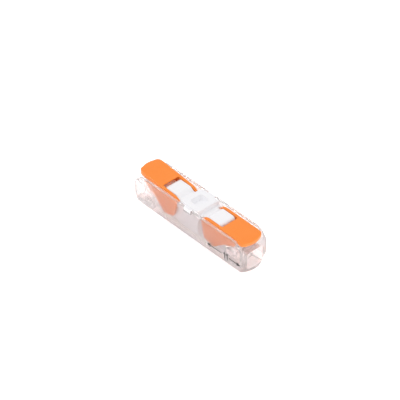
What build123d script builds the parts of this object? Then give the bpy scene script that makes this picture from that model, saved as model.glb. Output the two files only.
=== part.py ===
from build123d import *
import math
import os

# Inline lever wire connector: a clear tub, a white insert, two swing levers,
# a tinned current bar and two leaf clamping springs.
# X runs along the connector, Y across it (front wall at -Y), Z up from the base.
# Everything on the right half is drawn at +X and mirrored for the left half.
# All sizes are in millimetres and all angles in degrees.

# ---- overall ----
LENGTH = 36.9
WIDTH = 8.1
TOP_Z = 8.9
HALF_LENGTH = LENGTH / 2
HALF_WIDTH = WIDTH / 2

# ---- clear housing ----
WALL = 0.7
FLOOR = 0.8
WALL_TOP_Z = TOP_Z - 0.4
END_BOW = 0.15
END_CORNER = 0.6
NOSE_LENGTH = 3.9
NOSE_FALL = 5.0
FOOT_BOW = 1.3
FOOT_TOP_Z = 2.8
BASE_CHAMFER_IN = 0.7
BASE_CHAMFER_UP = 1.1
NOTCH_HALF = 1.2
NOTCH_Z = WALL_TOP_Z - 1.1

# ---- conductor entry, moulded into each end of the housing ----
THROAT_RADIUS = 2.05
THROAT_LENGTH = 3.3
ENTRY_START_X = HALF_LENGTH - 6.25
FUNNEL_LIP = 0.02
FUNNEL_CORNER = 0.5
MOUTH_HALF_WIDTH = 2.5
MOUTH_HEIGHT = 5.0
MOUTH_CORNER = 0.8
ROOF_X = HALF_LENGTH - 1.15
ROOF_Z = 7.0
ROOF_EDGE_X = HALF_LENGTH - 2.55
ROOF_LIP_Z = 5.95
GUIDE_ROOF_Z = 5.5
CHEEK_GAP = 0.3

# ---- lever ----
PIVOT_X = 7.4
PIVOT_Z = TOP_Z - 3.9
LEVER_TOP_Z = TOP_Z - 0.4
SIDE_GAP = 0.3
ARM_THICKNESS = 0.65
PLATE_THICKNESS = 1.0
WINDOW_OUTER_X = 10.2
WINDOW_EDGE = 0.2
WINDOW_UNDERCUT = 0.8
WINDOW_CORNER = 0.35
LEVER_TIP_X = HALF_LENGTH - 0.1
LEVER_FLAT_X = LEVER_TIP_X - 2.85
TIP_DROP = 0.25
TIP_SAG = 0.06
TIP_LOW_Z = LEVER_TOP_Z - 1.15
TIP_SLOPE = 0.1
TIP_BOW = 0.35
TIP_CORNER = 1.3
ARM_INNER_X = 4.25
ARM_INNER_Z = LEVER_TOP_Z - 0.9
ARM_SHOULDER = 2.0
ARM_SWEEP_GAP = 0.15
CHEEK_BACK_X = ENTRY_START_X - 0.4
CHEEK_BACK_Z = 4.9
CHEEK_FRONT_X = ROOF_EDGE_X - 0.85
CHEEK_FRONT_Z = 6.3
CHEEK_LOW = (8.2, 2.1)
HEEL_LOW = (6.25, 2.6)
HEEL_BACK = (5.2, 3.05)
HEEL_TOP = (4.85, 3.9)
LEFT_LIFT = 5.5
TRUNNION_RADIUS = 0.75
TRUNNION_PLAY = 0.05
TRUNNION_REACH = 0.65
CAM_DISTANCE = 2.1
CAM_RADIUS = 0.42
CAM_ANGLE = -70.0
CAM_PLAY = 0.15
CAM_GAP_HALF = 1.15
CAM_SLOT_SPARE = 2.0
LEVER_SWING = 90.0

# ---- white insert ----
BLOCK_HALF = 3.0
BLOCK_SETBACK = 0.1
BLOCK_EDGE_RADIUS = 0.3
VALLEY_Z = TOP_Z - 1.25
HOOD_SIDE_GAP = 0.15
HOOD_SKIN = 0.55
HOOD_SIDE = 0.8
HOOD_TOP_Z = TOP_Z - 0.5
HOOD_FOOT_X = 4.45
HOOD_FLAT_X = 5.5
HOOD_CURVE_X = 8.6
HOOD_EDGE_X = 9.5
HOOD_EDGE_Z = 7.7
HOOD_STEP_Z = 7.3
HOOD_NOSE_X = 11.7
HOOD_NOSE_Z = 6.95
HOOD_NOSE_LEAN = 0.2
HOOD_LIP_Z = 4.7
ROOM_START_X = 4.85
INSERT_BAR_GAP = 0.05
SLOT_LENGTH = 2.9
SLOT_WIDTH = 3.6
SLOT_DEPTH = 1.2
SLOT_CORNER = 0.6
SLOT_TAPER = 22.0
TAB_HALF = 1.1
TAB_LOW_Z = WALL_TOP_Z - 0.75
TAB_REACH = 0.1
BOSS_HALF = 1.8
BOSS_LOW_Z = 6.35
BOSS_TOP_Z = WALL_TOP_Z
SKIRT_HALF = 2.0
SKIRT_LOW_Z = 2.6
SKIRT_TOP_Z = 4.2
SKIRT_BACK = 0.1
FOOT_PAD_HALF = 1.6
SEAT_GAP = 0.05

# ---- metal parts ----
BAR_HALF_LENGTH = 9.3
BAR_HALF_WIDTH = 1.9
BAR_THICKNESS = 0.9
BAR_CHAMFER = 0.2
BAR_RIB_X = 5.9
BAR_RIB_HALF = 0.45
BAR_RIB_RISE = 0.2
BAR_RIB_GAP = 0.3
SPRING_THICKNESS = 0.35
SPRING_SIDE_GAP = 0.1
SPRING_START_X = 5.35
SPRING_START_Z = TOP_Z - 2.1
SPRING_BOW_X = 9.2
SPRING_BOW_Z = TOP_Z - 2.6
SPRING_BOW_RADIUS = 0.75
SPRING_LEG_ANGLE = -143.0
SPRING_TIP_GAP = 0.15

# ---- places worked out from the sizes above ----
INNER_HALF = HALF_WIDTH - WALL
ARM_OUT = INNER_HALF - SIDE_GAP
ARM_IN = ARM_OUT - ARM_THICKNESS
HOOD_HALF_WIDTH = ARM_IN - HOOD_SIDE_GAP
HOOD_ROOM_HALF = HOOD_HALF_WIDTH - HOOD_SIDE
SPRING_HALF_WIDTH = HOOD_ROOM_HALF - SPRING_SIDE_GAP
BAR_RIB_HALF_WIDTH = HOOD_ROOM_HALF - BAR_RIB_GAP
BLOCK_HALF_WIDTH = INNER_HALF - SEAT_GAP
THROAT_Z = FLOOR + THROAT_RADIUS
FUNNEL_X = ENTRY_START_X + THROAT_LENGTH
BAR_TOP_Z = FLOOR + BAR_THICKNESS
PLATE_LOW_Z = LEVER_TOP_Z - PLATE_THICKNESS
TIP_TOP_Z = LEVER_TOP_Z - TIP_DROP
END_X = HALF_LENGTH - END_BOW

# ---- construction allowances: merged solids overlap by JOIN, cuts run past by PAST ----
JOIN = 0.1
PAST = 1.0


def across(sketch, half):
    """Extrude an XZ sketch both ways along Y, to plus and minus half."""
    return extrude(Plane.XZ * sketch, amount=half, both=True)


def slab(x0, x1, y0, y1, z0, z1):
    """A box between two corners."""
    centre = ((x0 + x1) / 2, (y0 + y1) / 2, (z0 + z1) / 2)
    return Pos(*centre) * Box(x1 - x0, y1 - y0, z1 - z0)


def disc(x, z, radius, y0, y1):
    """A cylinder along Y from y0 to y1, centred at x, z."""
    place = Pos(x, (y0 + y1) / 2, z) * Rot(90, 0, 0)
    return place * Cylinder(radius, y1 - y0)


def mirrored(shape):
    """The same shape on the other half of the connector."""
    return mirror(shape, about=Plane.YZ)


def both_sides(shape):
    """A shape and its mirror image across the long axis."""
    return shape + mirror(shape, about=Plane.XZ)


def bowed_plan(end_x, bow, half_width, corner):
    """Plan outline from x = 0 to an end that bows outwards, with rounded corners."""
    inner = half_width - corner
    diagonal = corner * (1 - math.sqrt(0.5))
    with BuildSketch() as plan:
        with BuildLine():
            Polyline(
                (end_x - corner, -half_width), (0, -half_width),
                (0, half_width), (end_x - corner, half_width),
            )
            for side in (1, -1):
                ThreePointArc(
                    (end_x - corner, side * half_width),
                    (end_x - diagonal, side * (half_width - diagonal)),
                    (end_x, side * inner),
                )
            ThreePointArc((end_x, inner), (end_x + bow, 0), (end_x, -inner))
        make_face()
    return plan.sketch


def nose_profile():
    """Right half of a long wall in side view, with a full nose at the top of its end."""
    start_x = HALF_LENGTH - NOSE_LENGTH
    low_z = WALL_TOP_Z - NOSE_FALL
    with BuildSketch() as side:
        with BuildLine():
            Polyline(
                (HALF_LENGTH, low_z), (HALF_LENGTH, 0), (0, 0), (0, WALL_TOP_Z), (start_x, WALL_TOP_Z)
            )
            EllipticalCenterArc(
                (start_x, low_z), NOSE_LENGTH, NOSE_FALL, start_angle=0, arc_size=90
            )
        make_face()
    return side.sketch


def end_shape():
    """Right half of the tub's outside: a fully bowed foot that opens out to an almost flat end."""
    foot_plan = bowed_plan(HALF_LENGTH - FOOT_BOW, FOOT_BOW, HALF_WIDTH, END_CORNER)
    upper_plan = Pos(0, 0, FOOT_TOP_Z) * bowed_plan(END_X, END_BOW, HALF_WIDTH, END_CORNER)
    return loft([foot_plan, upper_plan]) + extrude(upper_plan, amount=TOP_Z - FOOT_TOP_Z)


def cheek_line(gap):
    """Lower edge of the lever's cheek beside the entry, moved down by gap."""
    return [(CHEEK_BACK_X, CHEEK_BACK_Z - gap), (CHEEK_FRONT_X, CHEEK_FRONT_Z - gap)]


def entry_block():
    """Solid end of the tub that holds the conductor entry, without its hole."""
    low, high = cheek_line(CHEEK_GAP)
    slope = (high[1] - low[1]) / (high[0] - low[0])
    start_z = low[1] + slope * (ENTRY_START_X - low[0])
    outline = [
        (ENTRY_START_X, 0),
        (ENTRY_START_X, start_z),
        high,
        (ROOF_EDGE_X, ROOF_Z - CHEEK_GAP / 2),
        (ROOF_X, ROOF_Z),
        (HALF_LENGTH, ROOF_LIP_Z),
        (HALF_LENGTH, 0),
    ]
    sides = across(make_face(Polyline(*outline, close=True)), INNER_HALF)
    guide = [
        (ENTRY_START_X, FLOOR),
        (ENTRY_START_X, GUIDE_ROOF_Z),
        (ROOF_EDGE_X, ROOF_Z - CHEEK_GAP / 2),
        (ROOF_EDGE_X, FLOOR),
    ]
    return sides + across(make_face(Polyline(*guide, close=True)), ARM_IN - SIDE_GAP)


def entry_hole():
    """Round throat for the insulated conductor and the square funnel before it."""
    throat = Pos((ENTRY_START_X + FUNNEL_X) / 2, 0, THROAT_Z) * Rot(0, 90, 0)
    hole = throat * Cylinder(THROAT_RADIUS, THROAT_LENGTH + PAST)
    mouth_z = FLOOR + MOUTH_HEIGHT / 2
    reach = HALF_LENGTH + PAST / 2
    small = Plane((FUNNEL_X, 0, THROAT_Z), x_dir=(0, 1, 0), z_dir=(1, 0, 0))
    wide = Plane((reach, 0, mouth_z), x_dir=(0, 1, 0), z_dir=(1, 0, 0))
    side = 2 * (THROAT_RADIUS + FUNNEL_LIP)
    funnel = loft([
        small * RectangleRounded(side, side, FUNNEL_CORNER),
        wide * RectangleRounded(2 * MOUTH_HALF_WIDTH, MOUTH_HEIGHT, MOUTH_CORNER),
    ])
    return hole + funnel


def clear_housing():
    """Clear tub: floor, two long walls and the two entry blocks."""
    plan = end_shape()
    walls = plan & across(nose_profile(), HALF_WIDTH)
    walls = walls - slab(-PAST, HALF_LENGTH + PAST, -INNER_HALF, INNER_HALF, FLOOR, TOP_Z + PAST)
    block = plan & entry_block()
    half = (walls + block) - entry_hole()
    tub = half + mirrored(half)
    corner = make_face(Polyline(
        (-HALF_WIDTH - PAST, -PAST),
        (-HALF_WIDTH + BASE_CHAMFER_IN, -PAST),
        (-HALF_WIDTH + BASE_CHAMFER_IN, 0),
        (-HALF_WIDTH, BASE_CHAMFER_UP),
        (-HALF_WIDTH - PAST, BASE_CHAMFER_UP),
        close=True,
    ))
    edge = extrude(Plane.YZ * corner, amount=HALF_LENGTH + PAST, both=True)
    reach = HALF_WIDTH + PAST
    notch = slab(-NOTCH_HALF, NOTCH_HALF, -reach, reach, NOTCH_Z, TOP_Z + PAST)
    return tub - both_sides(edge) - notch


def tip_curve():
    """Top edge of the lever in side view, from the flat to the tip."""
    middle = ((LEVER_FLAT_X + LEVER_TIP_X) / 2, LEVER_TOP_Z - TIP_SAG)
    return ThreePointArc((LEVER_FLAT_X, LEVER_TOP_Z), middle, (LEVER_TIP_X, TIP_TOP_Z))


def arm_outline():
    """Side view of one lever arm with its cheek, from the pivot end to the tip."""
    low, high = cheek_line(0)
    shoulder_x = ARM_INNER_X + ARM_SHOULDER
    corner = Vector(shoulder_x, ARM_INNER_Z)
    rise = LEVER_TOP_Z - ARM_INNER_Z
    with BuildSketch() as side:
        with BuildLine():
            Line((shoulder_x, LEVER_TOP_Z), (LEVER_FLAT_X, LEVER_TOP_Z))
            tip_curve()
            Polyline(
                (LEVER_TIP_X, TIP_TOP_Z),
                (LEVER_TIP_X, TIP_LOW_Z),
                (ROOF_EDGE_X, TIP_LOW_Z),
                high,
                low,
                CHEEK_LOW,
                HEEL_LOW,
                HEEL_BACK,
                HEEL_TOP,
                (ARM_INNER_X, ARM_INNER_Z),
            )
            EllipticalCenterArc(corner, ARM_SHOULDER, rise, start_angle=90, arc_size=90)
        make_face()
    return side.sketch


def plate_outline():
    """Side view of the plate that joins the two arms, undercut at the window."""
    with BuildSketch() as side:
        with BuildLine():
            tip_curve()
            Polyline(
                (LEVER_TIP_X, TIP_TOP_Z),
                (LEVER_TIP_X, TIP_LOW_Z),
                (ROOF_EDGE_X, TIP_LOW_Z),
                (CHEEK_FRONT_X, PLATE_LOW_Z),
                (WINDOW_OUTER_X + WINDOW_UNDERCUT, PLATE_LOW_Z),
                (WINDOW_OUTER_X, LEVER_TOP_Z - WINDOW_EDGE),
                (WINDOW_OUTER_X, LEVER_TOP_Z),
                (LEVER_FLAT_X, LEVER_TOP_Z),
            )
        make_face()
    return side.sketch


def cam_place():
    """Centre of the cam pin on the right lever."""
    angle = math.radians(CAM_ANGLE)
    return PIVOT_X + CAM_DISTANCE * math.cos(angle), PIVOT_Z + CAM_DISTANCE * math.sin(angle)


def window_corners():
    """Thin rounded corners between the plate's edge and the two arms."""
    corner_x = WINDOW_OUTER_X - WINDOW_CORNER
    corner_y = ARM_IN - WINDOW_CORNER
    low_z = LEVER_TOP_Z - WINDOW_EDGE
    web = slab(corner_x, WINDOW_OUTER_X, corner_y, ARM_IN, low_z, LEVER_TOP_Z)
    round_cut = Pos(corner_x, corner_y, LEVER_TOP_Z) * Cylinder(WINDOW_CORNER, PAST)
    return both_sides(web - round_cut)


def right_lever():
    """Orange lever: two arms with cheeks, thumb plate, trunnions and cam pins."""
    body = across(arm_outline(), ARM_OUT)
    clear = slab(0, LEVER_TIP_X + PAST, -ARM_IN, ARM_IN, -PAST, TOP_Z + PAST)
    body = body - clear + across(plate_outline(), ARM_IN) + window_corners()
    tip_x = LEVER_TIP_X - TIP_BOW
    foot = bowed_plan(tip_x - TIP_SLOPE * TIP_TOP_Z, TIP_BOW, ARM_OUT, TIP_CORNER)
    head = bowed_plan(tip_x + TIP_SLOPE * TIP_DROP, TIP_BOW, ARM_OUT, TIP_CORNER)
    body = body & loft([foot, Pos(0, 0, LEVER_TOP_Z) * head])
    trunnion = disc(PIVOT_X, PIVOT_Z, TRUNNION_RADIUS, ARM_IN - TRUNNION_REACH, ARM_IN + JOIN)
    cam_x, cam_z = cam_place()
    cam = disc(cam_x, cam_z, CAM_RADIUS, CAM_GAP_HALF, ARM_IN + JOIN)
    return body + both_sides(trunnion + cam)


def hood_outside():
    """Half of the insert beyond the block: the valley, the hood over one clamp and its step."""
    low_z = BAR_TOP_Z + INSERT_BAR_GAP
    with BuildSketch() as side:
        with BuildLine():
            Polyline(
                (0, low_z), (0, VALLEY_Z), (HOOD_FOOT_X, VALLEY_Z), (HOOD_FLAT_X, HOOD_TOP_Z),
                (HOOD_CURVE_X, HOOD_TOP_Z),
            )
            EllipticalCenterArc(
                (HOOD_CURVE_X, HOOD_EDGE_Z), HOOD_EDGE_X - HOOD_CURVE_X, HOOD_TOP_Z - HOOD_EDGE_Z,
                start_angle=0, arc_size=90,
            )
            Polyline(
                (HOOD_EDGE_X, HOOD_EDGE_Z),
                (HOOD_EDGE_X, HOOD_STEP_Z),
                (HOOD_NOSE_X - HOOD_NOSE_LEAN, HOOD_NOSE_Z),
                (HOOD_NOSE_X, HOOD_LIP_Z),
                (HOOD_NOSE_X, low_z),
                (0, low_z),
            )
        make_face()
    return across(side.sketch, HOOD_HALF_WIDTH)


def hood_room():
    """Everything cut out of one hood: the spring chamber, cam slots and trunnion holes."""
    inner_edge = HOOD_EDGE_X - HOOD_SKIN
    nose_x = HOOD_NOSE_X - HOOD_SKIN
    chamber = make_face(Polyline(
        (ROOM_START_X, 0),
        (ROOM_START_X, VALLEY_Z - HOOD_SKIN),
        (HOOD_FLAT_X, HOOD_TOP_Z - HOOD_SKIN),
        (HOOD_CURVE_X, HOOD_TOP_Z - HOOD_SKIN),
        (inner_edge, HOOD_STEP_Z - HOOD_SKIN),
        (nose_x - HOOD_NOSE_LEAN, HOOD_NOSE_Z - HOOD_SKIN),
        (nose_x, HOOD_LIP_Z),
        (nose_x, 0),
        close=True,
    ))
    room = across(chamber, HOOD_ROOM_HALF)
    gate = slab(PIVOT_X, HOOD_NOSE_X + PAST, -HOOD_ROOM_HALF, HOOD_ROOM_HALF, 0, HOOD_LIP_Z)
    reach = HOOD_HALF_WIDTH + PAST
    hole = disc(PIVOT_X, PIVOT_Z, TRUNNION_RADIUS + TRUNNION_PLAY, -reach, reach)
    return room + gate + hole + both_sides(cam_slot())


def cam_slot():
    """Arc-shaped slot in the hood's side that the cam pin swings through."""
    inner = CAM_DISTANCE - CAM_RADIUS - CAM_PLAY
    outer = CAM_DISTANCE + CAM_RADIUS + CAM_PLAY
    spare = math.degrees((CAM_RADIUS + CAM_PLAY) / CAM_DISTANCE) + CAM_SLOT_SPARE
    start = CAM_ANGLE - spare
    sweep = LEVER_SWING + 2 * spare
    points = []
    for radius, first, turn in ((outer, start, sweep), (inner, start + sweep, -sweep)):
        points.append(CenterArc((PIVOT_X, PIVOT_Z), radius, first, turn))
    ends = [
        Line(points[0] @ 1, points[1] @ 0),
        Line(points[1] @ 1, points[0] @ 0),
    ]
    ring = make_face(points + ends)
    depth = HOOD_SIDE + 2 * JOIN
    place = Plane((0, HOOD_HALF_WIDTH + JOIN, 0), x_dir=(1, 0, 0), z_dir=(0, -1, 0))
    return extrude(place * ring, amount=depth)


def arm_sweep():
    """Space beside one hood that the lever's arms swing through."""
    reach_x = PIVOT_X - ARM_INNER_X
    reach_z = ARM_INNER_Z - PIVOT_Z
    radius = math.hypot(reach_x, reach_z) + ARM_SWEEP_GAP
    swept = disc(PIVOT_X, PIVOT_Z, radius, HOOD_HALF_WIDTH, HALF_WIDTH)
    return both_sides(swept)


def insert_carrier():
    """White insert: centre block, test slot, latch tabs, skirts and two hoods."""
    setback = BLOCK_HALF_WIDTH - BLOCK_SETBACK
    joined = setback - JOIN
    block = slab(-BLOCK_HALF, BLOCK_HALF, -setback, setback, SKIRT_LOW_Z, TOP_Z)
    block = fillet(block.edges().filter_by(Axis.Y).group_by(Axis.Z)[-1], BLOCK_EDGE_RADIUS)
    valley_end = PIVOT_X - (LEVER_TOP_Z - PIVOT_Z) - ARM_SWEEP_GAP
    valley = slab(-valley_end, valley_end, -setback, setback, SKIRT_LOW_Z, VALLEY_Z)
    sweep = arm_sweep()
    body = block + valley - sweep - mirrored(sweep)
    foot = slab(
        -SKIRT_HALF, SKIRT_HALF, -FOOT_PAD_HALF, FOOT_PAD_HALF, BAR_TOP_Z, SKIRT_LOW_Z + JOIN
    )
    boss = slab(-BOSS_HALF, BOSS_HALF, joined, BLOCK_HALF_WIDTH, BOSS_LOW_Z, BOSS_TOP_Z)
    skirt = slab(
        -SKIRT_HALF, SKIRT_HALF, joined, BLOCK_HALF_WIDTH - SKIRT_BACK + JOIN / 2,
        SKIRT_LOW_Z, SKIRT_TOP_Z,
    )
    tab = slab(
        -TAB_HALF, TAB_HALF, BLOCK_HALF_WIDTH - JOIN, HALF_WIDTH - TAB_REACH, TAB_LOW_Z, WALL_TOP_Z
    )
    outside = hood_outside()
    body = body + outside + mirrored(outside) + foot + both_sides(boss + skirt + tab)
    room = hood_room()
    mouth = Pos(0, 0, TOP_Z) * RectangleRounded(SLOT_LENGTH, SLOT_WIDTH, SLOT_CORNER)
    recess = extrude(mouth, amount=-SLOT_DEPTH, taper=SLOT_TAPER)
    recess = recess + extrude(mouth, amount=PAST)
    return body - room - mirrored(room) - recess


def current_bar():
    """Flat tinned bar on the floor, with a contact rib under each spring."""
    bar = slab(
        -BAR_HALF_LENGTH, BAR_HALF_LENGTH, -BAR_HALF_WIDTH, BAR_HALF_WIDTH, FLOOR, BAR_TOP_Z
    )
    bar = chamfer(bar.edges().filter_by(Axis.Y), BAR_CHAMFER)
    rib = slab(
        BAR_RIB_X - BAR_RIB_HALF, BAR_RIB_X + BAR_RIB_HALF, -BAR_RIB_HALF_WIDTH, BAR_RIB_HALF_WIDTH,
        BAR_TOP_Z - JOIN, BAR_TOP_Z + BAR_RIB_RISE,
    )
    return bar + rib + mirrored(rib)


def right_spring():
    """Leaf spring: contact leg under the hood, a bow, and the clamping leg to the bar."""
    start = Vector(SPRING_START_X, SPRING_START_Z)
    bow = Vector(SPRING_BOW_X, SPRING_BOW_Z)
    heading = math.degrees(math.atan2(bow.Y - start.Y, bow.X - start.X))
    half = SPRING_THICKNESS / 2
    tip_z = BAR_TOP_Z + BAR_RIB_RISE + SPRING_TIP_GAP + half
    turn = math.radians(heading)
    centre = bow + Vector(math.sin(turn), -math.cos(turn)) * SPRING_BOW_RADIUS
    leg = math.radians(SPRING_LEG_ANGLE)
    leave = centre - Vector(math.sin(leg), -math.cos(leg)) * SPRING_BOW_RADIUS
    run = (leave.Y - tip_z) / -math.sin(leg)
    tip = leave + Vector(math.cos(leg), math.sin(leg)) * run
    middle = math.radians((heading + SPRING_LEG_ANGLE) / 2)
    top_of_bow = centre - Vector(math.sin(middle), -math.cos(middle)) * SPRING_BOW_RADIUS
    path = [Line(start, bow), ThreePointArc(bow, top_of_bow, leave), Line(leave, tip)]
    strip = trace(path, SPRING_THICKNESS)
    return across(strip, SPRING_HALF_WIDTH)


def lifted(shape):
    """The left lever stands slightly open, turned up about its own trunnions."""
    axis = Axis((-PIVOT_X, 0, PIVOT_Z), (0, 1, 0))
    return shape.rotate(axis, LEFT_LIFT)


lever = right_lever()
spring = right_spring()
parts = {
    "clear_housing": clear_housing(),
    "insert_carrier": insert_carrier(),
    "lever_left": lifted(mirrored(lever)),
    "lever_right": lever,
    "current_bar": current_bar(),
    "clamping_spring_left": mirrored(spring),
    "clamping_spring_right": spring,
}

os.makedirs("parts", exist_ok=True)
for name, shape in parts.items():
    export_step(shape, f"parts/{name}.step")
    print(name, "volume", round(shape.volume, 3), "solids", len(shape.solids()))
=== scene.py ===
# %% [markdown]
# # An inline lever wire connector
# The connector is a clear tub with a white insert, two orange levers, a tinned
# bar and two leaf springs. The engineering model already fixes every size and
# pivot, so this lesson loads it first and then gives each piece its finish.

# %% load the engineering model
import math
import bmesh
import bpy
from mathutils import Matrix, Vector


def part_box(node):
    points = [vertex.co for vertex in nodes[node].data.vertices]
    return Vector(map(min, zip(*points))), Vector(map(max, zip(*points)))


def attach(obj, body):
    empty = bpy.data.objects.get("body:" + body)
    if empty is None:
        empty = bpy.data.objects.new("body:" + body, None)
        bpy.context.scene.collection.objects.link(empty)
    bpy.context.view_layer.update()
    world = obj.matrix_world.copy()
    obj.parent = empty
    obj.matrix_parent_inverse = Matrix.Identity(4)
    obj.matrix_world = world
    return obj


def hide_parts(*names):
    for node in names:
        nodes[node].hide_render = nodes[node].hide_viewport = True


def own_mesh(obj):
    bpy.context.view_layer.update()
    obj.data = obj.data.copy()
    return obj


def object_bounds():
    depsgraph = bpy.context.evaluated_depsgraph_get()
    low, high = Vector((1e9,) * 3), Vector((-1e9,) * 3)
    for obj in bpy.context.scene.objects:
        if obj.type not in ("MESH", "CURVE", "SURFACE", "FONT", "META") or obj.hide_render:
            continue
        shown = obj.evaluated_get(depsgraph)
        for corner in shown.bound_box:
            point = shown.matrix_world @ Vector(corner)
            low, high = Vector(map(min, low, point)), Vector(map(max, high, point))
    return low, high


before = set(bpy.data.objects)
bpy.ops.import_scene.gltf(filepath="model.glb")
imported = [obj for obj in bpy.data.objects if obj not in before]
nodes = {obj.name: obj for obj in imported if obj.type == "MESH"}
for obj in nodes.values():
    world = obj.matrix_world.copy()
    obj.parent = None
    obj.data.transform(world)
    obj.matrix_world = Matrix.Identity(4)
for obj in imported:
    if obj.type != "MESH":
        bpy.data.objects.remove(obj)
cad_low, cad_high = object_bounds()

MM = 0.001
print("nodes", sorted(nodes))
print("size in mm", [round((b - a) / MM, 2) for a, b in zip(cad_low, cad_high)])

# %% [markdown]
# ## The camera
# A long lens from a raised corner keeps the parallel edges nearly parallel, as a
# catalogue shows small parts. The camera is set up first, so every later step
# can be looked at through it.

# %% long lens from the front right corner
LENS_SENSOR = 36.0
AIM = Vector((0, 0, 4.4)) * MM
AZIMUTH = math.radians(47.78)
ELEVATION = math.radians(40.1)
ROLL = math.radians(-0.49)
DISTANCE = 569.5 * MM
LENS = 223.3
SHIFT = (0.0006, 0.038)
NEAREST = 10 * MM

away = Vector((
    math.sin(AZIMUTH) * math.cos(ELEVATION),
    -math.cos(AZIMUTH) * math.cos(ELEVATION),
    math.sin(ELEVATION),
))
camera_data = bpy.data.cameras.new("camera")
camera_data.sensor_width = LENS_SENSOR
camera_data.lens = LENS
camera_data.shift_x, camera_data.shift_y = SHIFT
camera_data.clip_start = NEAREST
camera = bpy.data.objects.new("camera", camera_data)
camera.location = AIM + away * DISTANCE
turned = (-away).to_track_quat("-Z", "Y").to_matrix() @ Matrix.Rotation(ROLL, 3, "Z")
camera.rotation_euler = turned.to_euler()
bpy.context.scene.collection.objects.link(camera)
bpy.context.scene.camera = camera
print("camera at", [round(c / MM) for c in camera.location], "mm")

# %% [markdown]
# ## Colours and node helpers
# Colours are written as sRGB hex, as a paint shop would quote them, and turned
# to linear light by one function. Another starts each finish of the connector,
# and one more adds a shader node, so the patterns below stay short to read.

# %% colour and node helpers
def linear(code):
    """An sRGB hex code as a linear RGBA colour."""
    channels = [int(code[i:i + 2], 16) / 255 for i in (0, 2, 4)]
    return [c / 12.92 if c <= 0.04045 else ((c + 0.055) / 1.055) ** 2.4 for c in channels] + [1.0]


def add_node(tree, kind, settings=(), inputs=(), links=()):
    """Add a node, set its properties and sockets, and link other sockets into it."""
    node = tree.nodes.new(kind)
    for name, value in dict(settings).items():
        setattr(node, name, value)
    for name, value in dict(inputs).items():
        node.inputs[name].default_value = value
    for name, socket in dict(links).items():
        tree.links.new(socket, node.inputs[name])
    return node


def connector_finish(name, colour, roughness, **sockets):
    """A material with one principled shader, ready for its surface pattern."""
    material = bpy.data.materials.new(name)
    material.use_nodes = True
    shader = material.node_tree.nodes["Principled BSDF"]
    shader.inputs["Base Color"].default_value = linear(colour)
    shader.inputs["Roughness"].default_value = roughness
    for socket, value in sockets.items():
        shader.inputs[socket.replace("_", " ")].default_value = value
    return material, material.node_tree, shader


print("mid grey in linear light is", round(linear("808080")[0], 3))

# %% [markdown]
# ## Clear housing: moulded polycarbonate
# The tub is injection moulded from clear polycarbonate and polished in the
# mould. Real polycarbonate has an IOR near 1.58. So much bending inside closely
# nested walls turns a small model into glitter, so a lower IOR is used and part
# of the light passes straight through. A layer weight paints a rosy grey into
# the plastic where it is seen at a slant: a painted reflection of the orange
# levers and painted shade, which draws its edges and leaves its flats open. A
# slight roughness gives the walls their milky haze.

# %% clear polycarbonate
# The edge colour is a painted reflection of the orange levers and painted shade.
CLEAR_FACE, PAINTED_EDGE_REFLECTION_SHADE = "fdf8f8", "c4a4a2"
CLEAR_HAZE = 0.15
CLEAR_IOR = 1.35
CLEAR_COVER = 0.65
EDGE_BLEND = 0.4
CLEAR_FLOW_MM = 3.0
RIPPLE_STRENGTH, RIPPLE_DEPTH_MM = 0.08, 0.02
clear_plastic, tree, shader = connector_finish(
    "clear_polycarbonate", CLEAR_FACE, CLEAR_HAZE, IOR=CLEAR_IOR, Transmission_Weight=1.0,
    Alpha=CLEAR_COVER,
)
# The layer weight mixes the painted edge reflection and shade in where the plastic is seen at a
# slant.
facing = add_node(tree, "ShaderNodeLayerWeight", inputs={"Blend": EDGE_BLEND})
painted_edge_tint = add_node(
    tree, "ShaderNodeMix", {"data_type": "RGBA"}, links={"Factor": facing.outputs["Facing"]},
)
painted_edge_tint.inputs["A"].default_value = linear(CLEAR_FACE)
painted_edge_tint.inputs["B"].default_value = linear(PAINTED_EDGE_REFLECTION_SHADE)
tree.links.new(painted_edge_tint.outputs["Result"], shader.inputs["Base Color"])
place = add_node(tree, "ShaderNodeTexCoord")
flow = add_node(
    tree, "ShaderNodeTexNoise", inputs={"Scale": 1 / (CLEAR_FLOW_MM * MM), "Detail": 2.0},
    links={"Vector": place.outputs["Object"]},
)
ripple = add_node(
    tree, "ShaderNodeBump",
    inputs={"Strength": RIPPLE_STRENGTH, "Distance": RIPPLE_DEPTH_MM * MM},
    links={"Height": flow.outputs["Fac"]},
)
tree.links.new(ripple.outputs["Normal"], shader.inputs["Normal"])
print("clear polycarbonate, IOR", shader.inputs["IOR"].default_value)

# %% [markdown]
# ## Levers and insert: satin engineering plastics
# The levers are orange polyamide and the insert is white polybutylene
# terephthalate. Both are moulded against a finely eroded steel, which leaves a
# satin face with a soft, wide highlight and very slight clouding of the colour.
# Eroded grain is only a few hundredths of a millimetre wide, too fine to show,
# so it is drawn 0.12 mm wide. One function makes both plastics, because only
# the colour and the gloss differ.

# %% satin orange and satin white
PLASTIC_IOR = 1.55
GLOSS_SPREAD = 0.06
GRAIN_STRENGTH, GRAIN_DEPTH_MM = 0.12, 0.01


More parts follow.
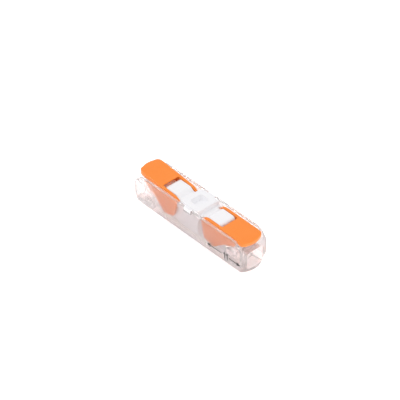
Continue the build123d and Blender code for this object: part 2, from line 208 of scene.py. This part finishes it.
def satin_plastic(name, pale, deep, roughness, grain_mm, cloud_mm):
    """Moulded satin plastic: cloudy colour, a fine eroded grain and uneven gloss."""
    material, tree, shader = connector_finish(name, pale, roughness, IOR=PLASTIC_IOR)
    place = add_node(tree, "ShaderNodeTexCoord")
    cloud = add_node(
        tree, "ShaderNodeTexNoise", inputs={"Scale": 1 / (cloud_mm * MM), "Detail": 3.0},
        links={"Vector": place.outputs["Object"]},
    )
    tint = add_node(
        tree, "ShaderNodeMix", {"data_type": "RGBA"}, links={"Factor": cloud.outputs["Fac"]},
    )
    tint.inputs["A"].default_value = linear(pale)
    tint.inputs["B"].default_value = linear(deep)
    grain = add_node(
        tree, "ShaderNodeTexNoise", inputs={"Scale": 1 / (grain_mm * MM), "Detail": 2.0},
        links={"Vector": place.outputs["Object"]},
    )
    gloss = add_node(
        tree, "ShaderNodeMapRange",
        inputs={"To Min": roughness - GLOSS_SPREAD, "To Max": roughness + GLOSS_SPREAD},
        links={"Value": grain.outputs["Fac"]},
    )
    bump = add_node(
        tree, "ShaderNodeBump",
        inputs={"Strength": GRAIN_STRENGTH, "Distance": GRAIN_DEPTH_MM * MM},
        links={"Height": grain.outputs["Fac"]},
    )
    tree.links.new(tint.outputs["Result"], shader.inputs["Base Color"])
    tree.links.new(gloss.outputs["Result"], shader.inputs["Roughness"])
    tree.links.new(bump.outputs["Normal"], shader.inputs["Normal"])
    return material


orange_plastic = satin_plastic(
    "orange_polyamide", "ff902b", "fc871f", roughness=0.42, grain_mm=0.12, cloud_mm=4.0,
)
white_plastic = satin_plastic(
    "white_polybutylene", "f7f7f9", "f3f3f6", roughness=0.38, grain_mm=0.12, cloud_mm=4.0,
)
print("satin plastics", orange_plastic.name, white_plastic.name)

# %% [markdown]
# ## Metal inside
# The current bar is electrolytic copper with a matt tin plate, and the springs
# are cold-rolled chrome-nickel steel strip, so both show rolling lines along X.
# A noise stretched along X draws them as small changes of gloss and height. Real
# lines are finer than the 0.2 mm and 0.25 mm used here, which just show.

# %% tinned copper and spring steel
LINE_STRETCH = 0.06
LINE_GLOSS_LOW, LINE_GLOSS_HIGH = 0.08, 0.1
LINE_STRENGTH, LINE_DEPTH_MM = 0.2, 0.01


def rolled_metal(name, colour, roughness, line_mm):
    """Rolled strip: a metal whose gloss and height vary in lines along X."""
    material, tree, shader = connector_finish(name, colour, roughness, Metallic=1.0)
    place = add_node(tree, "ShaderNodeTexCoord")
    stretch = add_node(
        tree, "ShaderNodeMapping", inputs={"Scale": (LINE_STRETCH, 1.0, 1.0)},
        links={"Vector": place.outputs["Object"]},
    )
    lines = add_node(
        tree, "ShaderNodeTexNoise", inputs={"Scale": 1 / (line_mm * MM), "Detail": 3.0},
        links={"Vector": stretch.outputs["Vector"]},
    )
    gloss = add_node(
        tree, "ShaderNodeMapRange",
        inputs={"To Min": roughness - LINE_GLOSS_LOW, "To Max": roughness + LINE_GLOSS_HIGH},
        links={"Value": lines.outputs["Fac"]},
    )
    bump = add_node(
        tree, "ShaderNodeBump",
        inputs={"Strength": LINE_STRENGTH, "Distance": LINE_DEPTH_MM * MM},
        links={"Height": lines.outputs["Fac"]},
    )
    tree.links.new(gloss.outputs["Result"], shader.inputs["Roughness"])
    tree.links.new(bump.outputs["Normal"], shader.inputs["Normal"])
    return material


tinned_copper = rolled_metal("tinned_copper", "d9d0c6", roughness=0.38, line_mm=0.25)
spring_steel = rolled_metal("spring_steel", "c9c8c6", roughness=0.28, line_mm=0.2)
print("metals", tinned_copper.name, spring_steel.name)

# %% [markdown]
# ## Soft edges
# No moulded edge is knife sharp: the cutter that made the mould leaves a small
# radius. A bevel that follows only the sharp edges adds it, and weighted
# normals keep the flats flat, so the radius alone catches the light.

# %% edge radius for a piece
SHARP = math.radians(28)
EDGE_STEPS = 3


def softened(piece, radius_mm):
    """Round the sharp edges of a piece and keep its flats flat."""
    bevel = piece.modifiers.new("edge_radius", "BEVEL")
    bevel.width = radius_mm * MM
    bevel.segments = EDGE_STEPS
    bevel.limit_method = "ANGLE"
    bevel.angle_limit = SHARP
    bevel.use_clamp_overlap = True
    bevel.harden_normals = True
    weight = piece.modifiers.new("flat_faces", "WEIGHTED_NORMAL")
    weight.keep_sharp = True


print("edges over", round(math.degrees(SHARP)), "degrees get a radius")

# %% [markdown]
# ## The connector's own shapes
# The tub carries the insert and the bar, and the two levers turn on cam pins in
# it. Their shapes could be drawn again here, but the engineering solids already
# have every wall and slot, so each piece is a copy of one. Joining the small
# triangles of its flats first lets the edge radius run clean, and cutting the
# wide flats again afterwards keeps the slots in them open.

# %% a piece with its engineering shape
WELD = 1e-7
FLAT = math.radians(0.5)
LARGEST_PLAIN_FACE = 4


def connector_piece(name, node, body, radius_mm, material):
    """A copy of an engineering solid, its edges rounded, on its body."""
    mesh = nodes[node].data.copy()
    mesh.materials.clear()
    mesh.materials.append(material)
    work = bmesh.new()
    work.from_mesh(mesh)
    bmesh.ops.remove_doubles(work, verts=work.verts, dist=WELD)
    bmesh.ops.dissolve_limit(
        work, angle_limit=FLAT, verts=work.verts, edges=work.edges,
    )
    wide = [face for face in work.faces if len(face.verts) > LARGEST_PLAIN_FACE]
    bmesh.ops.triangulate(work, faces=wide, ngon_method="EAR_CLIP")
    for face in work.faces:
        face.smooth = True
        face.material_index = 0
    work.to_mesh(mesh)
    work.free()
    piece = bpy.data.objects.new(name, mesh)
    bpy.context.scene.collection.objects.link(piece)
    softened(piece, radius_mm)
    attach(piece, body)
    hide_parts(node)
    print(name, "has", len(mesh.polygons), "faces before rounding")
    return piece


# %% the tub, the insert, the levers and the bar
TUB_EDGE_MM, INSERT_EDGE_MM, LEVER_EDGE_MM, BAR_EDGE_MM = 0.22, 0.1, 0.15, 0.06
connector_piece(
    "clear_tub", "clear_housing", "housing", TUB_EDGE_MM, clear_plastic,
)
connector_piece(
    "white_insert", "insert_carrier", "housing", INSERT_EDGE_MM, white_plastic,
)
for side in ("left", "right"):
    connector_piece(
        f"orange_lever_{side}", f"lever_{side}", f"{side}_lever",
        LEVER_EDGE_MM, orange_plastic,
    )
connector_piece(
    "tinned_bar", "current_bar", "housing", BAR_EDGE_MM, tinned_copper,
)

# %% [markdown]
# ## Clamping springs
# A leaf spring is pressed flat by the cam pins as its lever opens, and its
# upper leg rests under the hood. Here each spring is a copy of its engineering
# solid with a fine edge radius and a mesh of its own; it is not squashed.

# %% the springs
SPRING_EDGE_MM = 0.05
for side in ("left", "right"):
    spring = connector_piece(
        f"clamp_spring_{side}", f"clamping_spring_{side}", "housing",
        SPRING_EDGE_MM, spring_steel,
    )
    low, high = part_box(f"clamping_spring_{side}")
    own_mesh(spring)

# %% [markdown]
# ## The strip gauge on the front wall
# A line with an arrow at each end is pad printed on the front wall. It shows an
# installer how much insulation to strip, and the number gives it in millimetres.
# Pad printing leaves a film of ink a few micrometres thick, so each stroke is a
# thin bar that sits on the clear face. The ink thins in specks, which are drawn
# 0.2 mm wide, coarser than real ones, so that they show.

# %% the ink
INK_DARK, INK_WORN, INK_GRAIN_MM = "1c1a1a", "302c2c", 0.2
gauge_ink, tree, shader = connector_finish(
    "pad_printing_ink", INK_DARK, roughness=0.6, IOR=PLASTIC_IOR,
)
place = add_node(tree, "ShaderNodeTexCoord")
wear = add_node(
    tree, "ShaderNodeTexNoise", inputs={"Scale": 1 / (INK_GRAIN_MM * MM), "Detail": 2.0},
    links={"Vector": place.outputs["Object"]},
)
fade = add_node(
    tree, "ShaderNodeMix", {"data_type": "RGBA"}, links={"Factor": wear.outputs["Fac"]},
)
fade.inputs["A"].default_value = linear(INK_DARK)
fade.inputs["B"].default_value = linear(INK_WORN)
tree.links.new(fade.outputs["Result"], shader.inputs["Base Color"])
print("ink", gauge_ink.name)

# %% one printed stroke
INK_FILM_MM = 0.006
INK_LINE_MM = 0.26


def stroke(work, start, end, width):
    """Add one printed stroke, a thin flat bar between two places on the front wall, in mm."""
    start, end = Vector(start), Vector(end)
    along = (end - start).normalized() * width / 2
    across = Vector((-along.y, along.x))
    wall = cad_low[1] / MM
    outline = [
        start - along - across, end + along - across, end + along + across, start - along + across,
    ]
    layers = [
        [work.verts.new(Vector((p.x, y, p.y)) * MM) for p in outline]
        for y in (wall - INK_FILM_MM, wall + INK_FILM_MM)
    ]
    work.faces.new(layers[0])
    work.faces.new(reversed(layers[1]))
    for i in range(4):
        j = (i + 1) % 4
        work.faces.new((layers[0][j], layers[0][i], layers[1][i], layers[1][j]))


print("a stroke is", INK_LINE_MM, "mm wide")

# %% draw the arrows and the two ones
GAUGE_Z_MM = 2.7
GAUGE_FROM_MM, GAUGE_TO_MM = 7.1, 17.6
ARROW_LENGTH_MM, ARROW_HALF_MM = 0.8, 0.35
NUMBER_X_MM, NUMBER_HEIGHT_MM, NUMBER_STEP_MM, FLAG_MM = 12.7, 1.5, 0.9, 0.4
GAP_BEFORE_MM, GAP_AFTER_MM = 1.1, 1.6
strokes = [
    ((GAUGE_FROM_MM, GAUGE_Z_MM), (NUMBER_X_MM - GAP_BEFORE_MM, GAUGE_Z_MM)),
    ((NUMBER_X_MM + GAP_AFTER_MM, GAUGE_Z_MM), (GAUGE_TO_MM, GAUGE_Z_MM)),
]
for tip, back in ((GAUGE_FROM_MM, ARROW_LENGTH_MM), (GAUGE_TO_MM, -ARROW_LENGTH_MM)):
    strokes += [
        ((tip, GAUGE_Z_MM), (tip + back, GAUGE_Z_MM + side * ARROW_HALF_MM)) for side in (-1, 1)
    ]
for digit in (NUMBER_X_MM, NUMBER_X_MM + NUMBER_STEP_MM):
    low, high = GAUGE_Z_MM - NUMBER_HEIGHT_MM / 2, GAUGE_Z_MM + NUMBER_HEIGHT_MM / 2
    strokes += [((digit, low), (digit, high)), ((digit, high), (digit - FLAG_MM, high - FLAG_MM))]
work = bmesh.new()
for start, end in strokes:
    stroke(work, start, end, INK_LINE_MM)
gauge_mesh = bpy.data.meshes.new("strip_gauge")
work.to_mesh(gauge_mesh)
work.free()
gauge_mesh.materials.append(gauge_ink)
gauge = bpy.data.objects.new("strip_gauge", gauge_mesh)
bpy.context.scene.collection.objects.link(gauge)
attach(gauge, "housing")
print("strip gauge has", len(strokes), "strokes")

# %% [markdown]
# ## Table and light
# A plain pale floor and soft light from all round suit a clear part: the sky
# fills the plastic, and one large lamp gives each edge a gentle highlight. The
# floor glows a little, so it stays bright under the tub instead of going grey.

# %% the floor
FLOOR_SIDE = 3.0
FLOOR_GLOW = 0.55
FLOOR_DROP = 0.01 * MM
floor_material, tree, shader = connector_finish(
    "pale_floor", "f4f4f4", roughness=0.6, IOR=PLASTIC_IOR, Emission_Color=linear("ffffff"),
    Emission_Strength=FLOOR_GLOW,
)
floor_mesh = bpy.data.meshes.new("floor")
half = FLOOR_SIDE / 2
floor_mesh.from_pydata(
    [(-half, -half, 0), (half, -half, 0), (half, half, 0), (-half, half, 0)], [], [(0, 1, 2, 3)],
)
floor_mesh.materials.append(floor_material)
floor = bpy.data.objects.new("floor", floor_mesh)
floor.location.z = -FLOOR_DROP
bpy.context.scene.collection.objects.link(floor)
print("floor is", FLOOR_SIDE, "m wide")

# %% a sky that darkens towards the horizon
SKY_LOW, SKY_HIGH = "d8cccc", "ffffff"
SKY_RISE = 0.6
SKY_STRENGTH = 0.92
world = bpy.data.worlds.new("sky")
world.use_nodes = True
sky_tree = world.node_tree
sky_place = add_node(sky_tree, "ShaderNodeTexCoord")
sky_height = add_node(
    sky_tree, "ShaderNodeSeparateXYZ", links={"Vector": sky_place.outputs["Generated"]},
)
sky_ramp = add_node(
    sky_tree, "ShaderNodeMapRange", inputs={"From Min": 0.0, "From Max": SKY_RISE},
    links={"Value": sky_height.outputs["Z"]},
)
sky_colour = add_node(
    sky_tree, "ShaderNodeMix", {"data_type": "RGBA"}, links={"Factor": sky_ramp.outputs["Result"]},
)
sky_colour.inputs["A"].default_value = linear(SKY_LOW)
sky_colour.inputs["B"].default_value = linear(SKY_HIGH)
sky = sky_tree.nodes["Background"]
sky_tree.links.new(sky_colour.outputs["Result"], sky.inputs["Color"])
sky.inputs["Strength"].default_value = SKY_STRENGTH
bpy.context.scene.world = world
print("sky strength", SKY_STRENGTH)


# %% two soft lamps
def lamp(name, place_mm, size_mm, power):
    """A square soft lamp that looks at the connector."""
    data = bpy.data.lights.new(name, "AREA")
    data.shape = "SQUARE"
    data.size = size_mm * MM
    data.energy = power
    made = bpy.data.objects.new(name, data)
    made.location = Vector(place_mm) * MM
    made.rotation_euler = (AIM - made.location).to_track_quat("-Z", "Y").to_euler()
    bpy.context.scene.collection.objects.link(made)


lamp("key", place_mm=(-120, -160, 220), size_mm=160, power=0.12)
lamp("fill", place_mm=(200, 60, 160), size_mm=200, power=0.05)
bpy.context.scene.view_settings.view_transform = "Standard"
print("lamps", len(bpy.data.lights))

# %% [markdown]
# ## Light inside clear plastic
# A ray that enters the tub meets many walls before it leaves. If the renderer
# stops it too early, the path ends in black, and thick edges turn into dark
# lines. More bounces let it reach the sky, so the plastic stays bright.

# %% enough bounces for clear walls
CLEAR_BOUNCES = 40
GLOSS_BOUNCES = 16
cycles = bpy.context.scene.cycles
cycles.max_bounces = CLEAR_BOUNCES
cycles.transmission_bounces = CLEAR_BOUNCES
cycles.transparent_max_bounces = CLEAR_BOUNCES
cycles.glossy_bounces = GLOSS_BOUNCES
print("light may bounce", cycles.max_bounces, "times")
